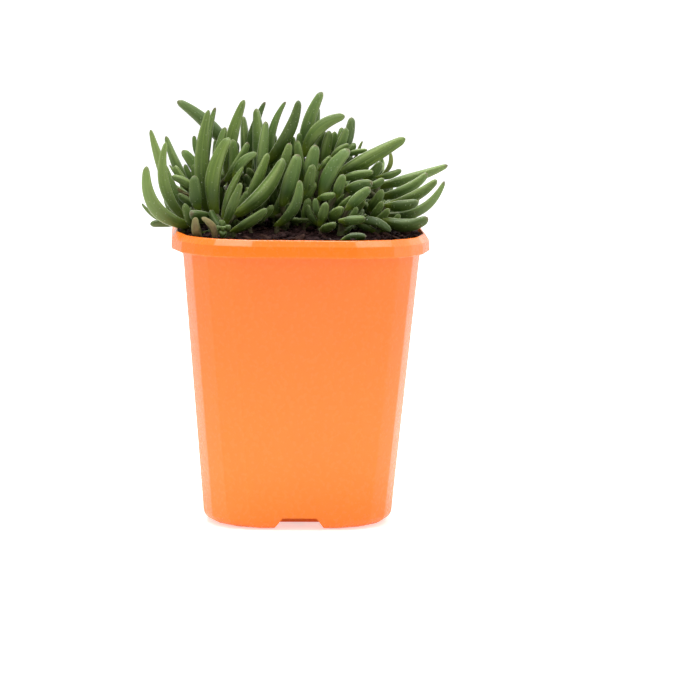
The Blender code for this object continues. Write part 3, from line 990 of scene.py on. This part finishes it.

# more leaves of the visible side, in millimetres: foot, tip, bow, width, tone (0 deep green to 1 olive),
# rust; the lowest tones also give painted shade to leaves that lie in shadow
sideLeaves = [
    # left edge and left shoots
    ((-47, -13, 117.0), (-58.3, -14, 116.2), -0.4, 3.5, -0.6, 0.3),
    ((-47, -7.5, 116.8), (-61.6, -8.5, 123.8), 2.2, 2.2, 0.2, 0.2),
    ((-44.0, -6.5, 116.6), (-52.2, -7.5, 127.2), 1.6, 3.8, 0.4, 0.2),
    ((-37, 2, 130), (-33.1, 1, 160.7), -1.4, 3.7, 0.4, 1.0),
    ((-40.5, -8.5, 129.6), (-50, -9.5, 134.5), -0.5, 3.3, 0.1, 0.3),
    ((-28.5, -5, 133.5), (-20.5, -6, 147.7), 0.5, 3.6, 0.7, 1.0),
    ((-25.5, -11, 135), (-17, -11, 143.8), -1.5, 3.6, 0.1, 0.4),
    ((-26, -2.5, 130), (-26.4, -3, 148.6), -0.4, 4.2, 0.5, 0.4),
    ((-35, 5.5, 138), (-35, 5.5, 148), 0.0, 1.8, 0.1, 0.8),
    ((-33.2, 6.5, 139), (-33, 6.5, 147.8), 0.0, 2.3, 0.3, 0.8),
    ((-39.5, 7, 140.5), (-41.3, 7, 149.2), 0.3, 2.3, 0.6, 1.0),
    ((-40, 0.5, 129.8), (-41.4, 0.5, 138.4), 0.2, 2.8, 0.5, 0.3),
    ((-41.5, 2.5, 131), (-44.9, 2, 138.3), 0.2, 2.4, 0.6, 1.0),
    ((-41.5, -3, 128), (-48.8, -3, 138.1), 0.8, 3.6, 0.4, 0.3),
    ((-43.5, 1.5, 129.8), (-51.0, 1, 138.2), 0.4, 1.5, 1.0, 0.6),
    ((-38, -6, 123), (-47.5, -7, 127.5), 0.8, 3.4, 0.2, 0.6),
    ((-25.5, -13, 119.5), (-20.5, -15, 129.5), 0.4, 3.6, 0.2, 0.3),
    ((-22, -8, 121), (-27, -9, 131.5), 0.3, 3.4, 0.1, 0.4),
    ((-19, -16, 117.5), (-11, -19, 124.5), 0.8, 3.4, 0.1, 0.3),
    ((-17, -10, 118.5), (-17.5, -12, 130.5), 0.4, 3.8, 0.1, 0.2),
    # the small rosette by the left front corner
    ((-30.9, -30, 115.8), (-32.9, -34.2, 117.4), 0.3, 3.0, -0.2, 0.0),
    ((-30.0, -30, 115.8), (-28.0, -34.2, 117.8), 0.3, 3.0, 0.0, 0.0),
    ((-30.4, -31, 115.0), (-30.6, -35.6, 115.0), 0.3, 3.2, -0.2, 0.0),
    ((-30.5, -29.5, 116.8), (-31.0, -32.0, 119.8), 0.2, 2.8, 0.1, 0.0),
    ((-30.6, -31.5, 116.4), (-30.3, -35.2, 117.4), 0.2, 2.3, 0.3, 0.0),
    # middle
    ((-19.5, 6, 136), (-13.5, 6, 162.8), -1.7, 3.7, -0.35, 1.0),
    ((-8.5, -8, 134), (-4.3, -10, 147.9), 0.3, 3.8, 0.8, 1.0),
    ((-13, -1, 139), (-5, -2, 147), 0.5, 3.4, 0.0, 0.3),
    ((-11, 5.5, 141), (-9.7, 5, 150), 0.1, 2.6, 0.3, 0.5),
    ((-4, -6, 119.5), (-14, -10, 121), 0.4, 3.6, 0.0, 0.2),
    ((-5.5, -13, 118.3), (4, -16, 118.6), 0.2, 2.2, 0.1, 0.2),
    ((1.6, -12, 118), (3.1, -13, 126.8), 0.1, 3.7, 0.1, 0.3),
    ((1.3, -10.5, 125.8), (5.6, -14, 133), 0.2, 3.4, 0.1, 0.2),
    ((2.2, -12, 128.5), (4.6, -14, 140), 0.2, 4.3, 0.0, 0.3),
    ((6.3, -8, 131), (7.1, -8, 139.8), 0.1, 2.6, 0.3, 0.4),
    ((5.2, 7, 149), (7.4, 7.5, 160.5), 0.4, 2.3, 0.6, 0.5),
    ((-0.6, 2, 143), (-0.2, 2, 151), 0.0, 2.8, 0.1, 0.7),
    ((-2.8, 1, 142), (-2.4, 0, 149.6), 0.0, 2.4, 0.4, 1.0),
    ((-10, -9, 120), (-5.5, -11, 131), 0.4, 3.8, 0.0, 0.3),
    # right shoots
    ((5.5, 4.5, 140), (10.2, 4.5, 151.4), -0.5, 3.6, -0.2, 0.4),
    ((8.5, 7.5, 140), (12.6, 7.5, 149.6), -0.3, 3.2, -0.6, 0.4),
    ((19, 10, 127), (27.5, 9.5, 139.8), 0.5, 4.2, -0.7, 0.4),
    ((24, 12, 125), (33, 11.5, 136.8), 0.5, 4.0, -0.7, 0.4),
    ((29, 9.5, 123.5), (37, 9, 132.4), 0.5, 3.6, -0.7, 0.4),
    ((16.5, 9.5, 131), (20.5, 9.5, 142.6), -0.2, 4.2, -0.7, 0.3),
    ((-27, 12, 130), (-24.4, 12, 146.5), -0.3, 4.2, -0.3, 0.3),
    ((12.4, 4, 143), (13.8, 4, 151.6), 0.1, 3.0, 0.2, 0.6),
    ((14, 0, 143.5), (18.1, 0, 153.4), 0.4, 3.5, 0.5, 0.5),
    ((14.4, 3.2, 145), (16.6, 3.6, 153.2), 0.2, 2.7, 0.3, 0.6),
    ((12.3, -4.5, 142), (19, -4.5, 147.2), -0.6, 2.8, 0.5, 0.4),
    ((8, -9, 138.3), (11.6, -9, 142.9), 0.1, 2.8, 0.1, 0.3),
    ((7, -18, 127), (13, -22, 129), -0.3, 3.0, 0.5, 0.5),
    ((7.4, -22.5, 118.2), (9.3, -24, 126.3), 0.2, 3.8, 0.2, 0.2),
    ((8, -25, 115.9), (12.6, -31.5, 118.8), 0.2, 3.4, 0.3, 0.2),
    ((14.6, -23, 124.6), (19, -25, 128.8), 0.1, 2.2, 0.3, 0.3),
    ((18, 0.5, 142.6), (26.5, 0, 144.7), -0.3, 2.3, 0.4, 0.6),
    ((18.4, 2.6, 142.6), (21.8, 2.6, 147.2), 0.1, 3.2, 0.0, 0.5),
    ((22.6, 2.5, 142.5), (24.7, 2.5, 148.0), -0.2, 1.2, 0.8, 0.3),
    ((26, -2.5, 133.5), (31.6, -3.5, 140.5), 0.6, 4.2, 0.4, 0.4),
    ((31, -8, 134.8), (39.3, -9, 137.8), 0.4, 2.9, 0.0, 0.5),
    ((26.5, -15.5, 131.6), (32, -16.5, 135.0), 0.3, 3.1, 0.0, 0.5),
    ((33, 0, 135.5), (35.2, 0, 144.2), 1.5, 2.0, 1.3, 0.1),
    ((31, 0, 138), (32.3, 0, 142), 0.1, 1.6, 0.6, 0.8),
    ((27, -13, 122.5), (31.6, -17, 130.7), 0.3, 3.8, 0.1, 0.3),
    ((27.5, -16, 119.4), (31.5, -20.5, 126.4), 0.3, 3.2, 0.2, 0.3),
    ((29, -18, 118), (33.8, -22, 123.8), 0.3, 3.0, 0.2, 0.3),
    # painted shade: this low leaf is given a deep tone for the shadow it lies in
    ((22.5, -25, 119), (34, -30, 115.6), -1.7, 3.5, -0.9, 0.3),
    ((15.5, -37, 113.0), (24.0, -39.5, 114.6), -0.6, 3.6, -1.0, 1.0),
    ((20, -14, 121.5), (24.5, -20, 127), 0.3, 3.4, 0.1, 0.3),
    ((13.5, -11, 123.5), (17.5, -15, 128.6), 0.2, 3.2, 0.1, 0.3),
    ((17, -8, 127.2), (22, -11, 132.6), 0.3, 3.4, 0.1, 0.3),
    ((22, -4, 128), (27.5, -6, 131.5), 0.3, 3.4, 0.1, 0.3),
    ((36, -13, 117.5), (45.5, -9, 119.6), 0.9, 3.4, 0.0, 0.2),
]


def makeSideLeaves():
    for number, (foot, tip, bow, width, tone, rust) in enumerate(sideLeaves, 1):
        path = bentPath(foot, tip, bow)
        leaf = buildBlade(f"sideLeaf{number:02d}", path, width, tone, rust, 500 + number)
        finishPiece(leaf, leafMaterial, "leaf")
        keepRoom(path, width)
        keepFoot(path, width)


makeSideLeaves()
print("side leaves made")

# shoots of the middle and back: x, y, height of the top above the soil, longest leaf
innerShoots = [
    (14.5, -23, 12, 12), (7.5, -16, 9, 12), (-27, -22, 7, 11), (29, -13, 9, 12),
    (-33, 17, 15, 24), (-19, 17, 22, 24), (-5, 15, 24, 24), (9, 15, 22, 25), (23, 15, 18, 24),
    (36, 12, 12, 23),
    (-40, 30, 9, 22), (-26, 38, 9, 22), (-9, 31, 14, 24), (6, 40, 9, 22), (17, 29, 14, 24), (31, 38, 8, 22),
    (40, 25, 8, 22), (-14, 42, 7, 20), (-42, 14, 8, 20), (-29, 6, 15, 18), (-9, 3, 18, 20), (8, 4, 16, 20),
    (22, 3, 16, 18), (31, 3, 10, 18), (-20, -4, 10, 16), (1, -3, 10, 16), (18, -9, 8, 14), (-37, -12, 4, 14),
    (-3, 24, 18, 24), (24, 26, 12, 22), (-29, 27, 13, 24), (14, 10, 20, 20), (-15, 9, 20, 20),
]
shootGrowth = {
    "seed": 77,
    "soilLevel": 112.5,
    "rootDepth": 3,
    "pairGap": 3.6,
    "outwardLean": 0.1,
    "firstPair": 0.25,
    "tries": 14,
    "squeeze": 0.35,
    "turnSpread": 0.5,
    "lift": (18, 58),  # degrees of the lowest leaf, and how much steeper the highest is
    "liftSpread": (-12, 14),
    "lengthSpread": (0.75, 1.1),
    "shorterAbove": 0.42,
    "shorterEachTry": 0.03,
    "upturn": 0.12,
    "width": (2.2, 0.105, 5.2),  # least, gain with length, most
    "widthSpread": (0.9, 1.1),
    "bowSpread": (0.06, 0.13),
    "stemRadius": 1.6,
    "stemThinning": 0.6,
    "stemKnots": 0.18,
    "stemSteps": 8,
}
# room that the middle and back may fill, so that the outline stays that of the front leaves
crown = {
    "top": 145.0,
    "middle": -8,
    "fall": 0.019,
    "edge": 125.5,
    "backFrom": 20,
    "backRise": 3,
    "halfWidth": 50,
    "depth": 60,
    "frontFrom": -20,
    "frontHeight": 124,
    "rimFrom": 44,
    "rimHeight": 119,
}


def crownHeight(x):
    return max(crown["edge"], crown["top"] - crown["fall"] * (x - crown["middle"]) ** 2)


def addTube(verts, faces, points, radii, sides=12):
    first = len(verts)
    for row, (point, radius) in enumerate(zip(points, radii)):
        before, after = points[max(0, row - 1)], points[min(len(points) - 1, row + 1)]
        ahead = (after - before).normalized()
        across = ahead.cross(Vector((0.3, 1, 0.1))).normalized()
        other = ahead.cross(across)
        for i in range(sides):
            angle = 2 * math.pi * i / sides
            spot = point + (across * math.cos(angle) + other * math.sin(angle)) * radius
            verts.append(tuple(spot * mm))
    for row in range(len(points) - 1):
        faces += bandFaces(first + row * sides, first + (row + 1) * sides, sides)
    faces.append(tuple(reversed(range(first, first + sides))))
    faces.append(tuple(range(len(verts) - sides, len(verts))))


def tubePiece(name, verts, faces):
    mesh = makeMesh(name, verts, faces)
    mesh.shade_smooth()
    return finishPiece(linkMesh(name, mesh), stemMaterial, "stem")


twig = {
    "radius": 1.05,
    "ofLeafWidth": 0.27,
    "startShare": 0.8,
    "flare": 0.35,
    "nearest": 1.6,
    "furthest": 13.0,
    "upCost": 2.5,
    "sink": 1.6,
    "soilTop": 112,
    "rootTop": 111.0,
    "leanMost": 3.0,
    "leanShare": 0.4,
    "steps": 6,
    "sides": 10,
    "stemsFrom": 113,
    "sameSpot": 3.0,
}
stemSpots = []  # places that a leaf or twig may grow from


def gatherStemSpots():
    # the middle line of each solid stem, from its own vertices taken level by level
    for name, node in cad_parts.items():
        if not name.startswith("stem_"):
            continue
        high = [vert.co / mm for vert in node.data.vertices if vert.co.z / mm > twig["stemsFrom"]]
        while high:
            near = [spot for spot in high if (spot - high[0]).length < twig["sameSpot"]]
            stemSpots.append(sum(near, Vector()) / len(near))
            high = [spot for spot in high if (spot - high[0]).length >= twig["sameSpot"]]


def fitsCrown(path, width):
    tip = path(1.0)
    tooHigh = tip.z > crownHeight(tip.x) + (crown["backRise"] if tip.y > crown["backFrom"] else 0)
    tooWide = abs(tip.x + 1) > crown["halfWidth"] or tip.y > crown["depth"]
    inFront = tip.y < crown["frontFrom"] and tip.z < crown["frontHeight"]
    overRim = max(abs(tip.x), abs(tip.y)) > crown["rimFrom"] and tip.z < crown["rimHeight"]
    if tooHigh or tooWide or inFront or overRim:
        return False
    return hasRoom(path, width, -shootGrowth["squeeze"])


def tryLeaf(chance, node, azimuth, level, longest):
    # a few goes at a leaf that keeps clear of the ones already there
    grow = shootGrowth
    lowest, steeper = grow["lift"]
    least, gain, most = grow["width"]
    for attempt in range(grow["tries"]):
        side = azimuth + chance.uniform(-grow["turnSpread"], grow["turnSpread"])
        lift = math.radians(lowest + steeper * level + chance.uniform(*grow["liftSpread"]))
        length = longest * (1.0 - grow["shorterAbove"] * level) * chance.uniform(*grow["lengthSpread"])
        length *= 1 - grow["shorterEachTry"] * attempt
        flat = Vector((math.cos(side), math.sin(side), 0))
        way = flat * math.cos(lift) + Vector((0, 0, math.sin(lift)))
        start = node + flat * 1.5
        tip = start + way * length + Vector((0, 0, length * grow["upturn"]))
        width = min(most, least + length * gain) * chance.uniform(*grow["widthSpread"])
        path = bentPath(start, tip, length * chance.uniform(*grow["bowSpread"]))
        if fitsCrown(path, width):
            return path, width
    return None


def growStem(name, foot, top, reach):
    # knotty, and thinner towards the top
    verts, faces = [], []
    steps = shootGrowth["stemSteps"]
    points = [foot.lerp(top, reach * i / steps) for i in range(steps + 1)]
    radii = []
    for i in range(steps + 1):
        knot = shootGrowth["stemKnots"] if i % 2 else 0
        radii.append(shootGrowth["stemRadius"] - shootGrowth["stemThinning"] * i / steps + knot)
    addTube(verts, faces, points, radii)
    tubePiece(name, verts, faces)
    stemSpots.extend(points)


def growShoots():
    chance = random.Random(shootGrowth["seed"])
    lean, depth, first = shootGrowth["outwardLean"], shootGrowth["rootDepth"], shootGrowth["firstPair"]
    leafCount = 0
    for shoot, (x, y, rise, longest) in enumerate(innerShoots, 1):
        foot = Vector((x, y, shootGrowth["soilLevel"] - depth))
        topX = x * lean + chance.uniform(-1, 1)
        topY = y * lean + chance.uniform(-1, 1)
        top = foot + Vector((topX, topY, rise + depth))
        pairs = max(2, int(rise / shootGrowth["pairGap"]) + 1)
        turn = chance.uniform(0, math.pi)
        highest = 0.0
        for pair in range(pairs):
            level = (pair + 0.6) / pairs
            share = first + (1 - first) * level
            for azimuth in (turn, turn + math.pi):
                found = tryLeaf(chance, foot.lerp(top, share), azimuth, level, longest)
                if not found:
                    continue
                path, width = found
                leafCount += 1
                leaf = buildBlade(f"innerLeaf{leafCount:03d}", path, width,
                                  chance.uniform(-0.4, 0.8), chance.random() ** 2, 2000 + leafCount)
                finishPiece(leaf, leafMaterial, "leaf")
                keepRoom(path, width)
                highest = share
            turn += math.pi / 2 + chance.uniform(-0.25, 0.25)
        if highest > 0:
            growStem(f"innerStem{shoot:02d}", foot, top, highest)
    return leafCount


gatherStemSpots()
print("inner shoots made, leaves:", growShoots())

def growTwigs():
    # a short twig from the foot of each leaf of the visible side down to the nearest stem, or into the soil
    verts, faces = [], []
    steps = twig["steps"]
    count = 0
    for foot, ahead, width in leafFeet:
        ways = []
        for spot in stemSpots:
            rise = max(0.0, spot.z - foot.z)
            ways.append(((spot - foot).length + rise * twig["upCost"], tuple(spot)))
        cost, spot = min(ways)
        target = Vector(spot)
        if cost < twig["nearest"]:
            continue
        if cost > twig["furthest"] or foot.z - twig["soilTop"] < cost * 0.8:
            target = Vector((foot.x * 0.97, foot.y * 0.97, twig["rootTop"]))
        begin = foot + ahead * twig["sink"]
        lean = foot - ahead * min(twig["leanMost"], (target - foot).length * twig["leanShare"])
        radius = min(twig["radius"], width * twig["ofLeafWidth"])
        points, radii = [], []
        for i in range(steps + 1):
            t = i / steps
            points.append(begin * (1 - t) ** 2 + lean * 2 * t * (1 - t) + target * t ** 2)
            radii.append(radius * (twig["startShare"] + twig["flare"] * t))
        addTube(verts, faces, points, radii, twig["sides"])
        count += 1
    tubePiece("twigs", verts, faces)
    return count


print("twigs grown:", growTwigs())

# dry leaves and scraps by the left front corner
dryLeaves = [
    ((-33.6, -34, 112.6), (-38.6, -33, 120.8), -1.6, 2.8),
    ((-39.0, -32, 113.0), (-40.8, -33, 121.0), 0.9, 3.1),
    ((-44, -4, 127.3), (-47.6, -5, 129.6), 0.4, 1.7),
    ((-40, -6, 124.2), (-46.2, -6, 128.0), -0.5, 1.3),
]


def makeDryLeaves():
    for number, (foot, tip, bow, width) in enumerate(dryLeaves, 1):
        path = bentPath(foot, tip, bow)
        leaf = buildBlade(f"dryLeaf{number}", path, width, 0.5, 1.0, 900 + number, keel=0.42, wobble=0.36)
        finishPiece(leaf, dryMaterial, "leaf")


makeDryLeaves()
print("dry leaves made")

# soil: a fine crust over the solid plug, with crumbs, bark and a little grit
soil = {
    "cells": 190,
    "half": 48.4,
    "skirt": 2.5,
    "level": 112.0,
    "lift": 0.35,
    "mound": (44.0, 1.6),  # reach and height
    "broad": (7.0, 0.7),  # size and height of the broad lumps
    "fine": (2.2, 0.75),
    "lipGap": 2.5,
    "spread": 47,
    "seed": 5,
    # how many, sizes from and to, stretch from and to
    "crumbs": (520, (0.45, 1.25), (0.8, 1.3)),
    "chips": (90, (0.7, 1.3), (1.6, 3.0)),
    "grit": (26, (0.25, 0.5), (0.9, 1.2)),
}


def soilHeight(x, y):
    reach, mound = soil["mound"]
    broadSize, broadHeight = soil["broad"]
    fineSize, fineHeight = soil["fine"]
    rise = mound * max(0.0, 1.0 - (x * x + y * y) / (reach * reach))
    broad = noise.noise(Vector((x / broadSize, y / broadSize, 3.7)))
    fine = noise.fractal(Vector((x / fineSize, y / fineSize, 9.1)), 1.0, 2.1, 5)
    return soil["level"] + rise + broadHeight * broad + fineHeight * fine + soil["lift"]


def insideLip(x, y, margin):
    half = pot["rimHalf"] - pot["wall"] - 0.9 - margin
    u, v = abs(x) / half, abs(y) / half
    if max(u, v) > 1:
        return False
    u, v = max(u, v), min(u, v)
    (straight, side), (turn, nearer) = pot["lipCorner"][:2]
    if v < straight:
        return True
    # the two slanted sides of each corner
    if v < turn:
        return u < side - (v - straight) * (side - nearer) / (turn - straight)
    return u < nearer - (v - turn)


def makeSoilCrust():
    cells, half = soil["cells"], soil["half"]
    verts, faces, index = [], [], {}
    for i in range(cells + 1):
        for j in range(cells + 1):
            x, y = -half + 2 * half * i / cells, -half + 2 * half * j / cells
            if insideLip(x, y, 0.0):
                index[i, j] = len(verts)
                verts.append((x * mm, y * mm, soilHeight(x, y) * mm))
    for i, j in index:
        corners = [(i, j), (i + 1, j), (i + 1, j + 1), (i, j + 1)]
        if all(corner in index for corner in corners):
            faces.append([index[corner] for corner in corners])
    mesh = makeMesh("soilCrust", verts, faces)
    shape = bmesh.new()
    shape.from_mesh(mesh)
    rim = [edge for edge in shape.edges if edge.is_boundary]
    skirt = bmesh.ops.extrude_edge_only(shape, edges=rim)
    for item in skirt["geom"]:
        if isinstance(item, bmesh.types.BMVert):
            item.co.z = (soil["level"] - soil["skirt"]) * mm
    bmesh.ops.holes_fill(shape, edges=[edge for edge in shape.edges if edge.is_boundary], sides=0)
    bmesh.ops.recalc_face_normals(shape, faces=shape.faces)
    shape.to_mesh(mesh)
    shape.free()
    mesh.shade_smooth()
    finishPiece(linkMesh("soilCrust", mesh), soilMaterial, "soil")


def scatterLumps(name, kind, material, seed):
    count, sizes, stretch = soil[kind]
    spread = soil["spread"]
    chance = random.Random(seed)
    shape = bmesh.new()
    made = 0
    while made < count:
        x, y = chance.uniform(-spread, spread), chance.uniform(-spread, spread)
        if not insideLip(x, y, soil["lipGap"]):
            continue
        made += 1
        size = chance.uniform(*sizes) * (1.5 if chance.random() < 0.12 else 1.0)
        lump = bmesh.ops.create_icosphere(shape, subdivisions=2, radius=1.0)["verts"]
        offset = Vector((chance.uniform(0, 99), chance.uniform(0, 99), chance.uniform(0, 99)))
        for vert in lump:
            vert.co *= 1 + 0.45 * noise.noise(vert.co * 1.3 + offset)
        shaped = Matrix.Diagonal((size * chance.uniform(*stretch), size, size * chance.uniform(0.5, 0.9), 1))
        turned = Matrix.Rotation(chance.uniform(0, 6.3), 4, "Z")
        tipped = Matrix.Rotation(chance.uniform(-0.5, 0.5), 4, "Y")
        lifted = Matrix.Translation(Vector((x, y, soilHeight(x, y) + size * 0.25)))
        change = Matrix.Scale(mm, 4) @ lifted @ (turned @ tipped) @ shaped
        bmesh.ops.transform(shape, matrix=change, verts=lump)
    mesh = bpy.data.meshes.new(name)
    shape.to_mesh(mesh)
    shape.free()
    mesh.shade_smooth()
    finishPiece(linkMesh(name, mesh), material, "soil")


makeSoilCrust()
scatterLumps("soilCrumbs", "crumbs", soilMaterial, soil["seed"])
scatterLumps("barkChips", "chips", barkMaterial, soil["seed"] + 1)
scatterLumps("soilGrit", "grit", gritMaterial, soil["seed"] + 2)
print("soil made")

for nodeName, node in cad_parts.items():
    if nodeName.startswith("stem_"):
        node.data.materials.clear()
        node.data.materials.append(stemMaterial)
        node.data.shade_smooth()
    if nodeName == "soil":
        node.data.materials.clear()
        node.data.materials.append(soilMaterial)
print("solid stems and soil given their materials")
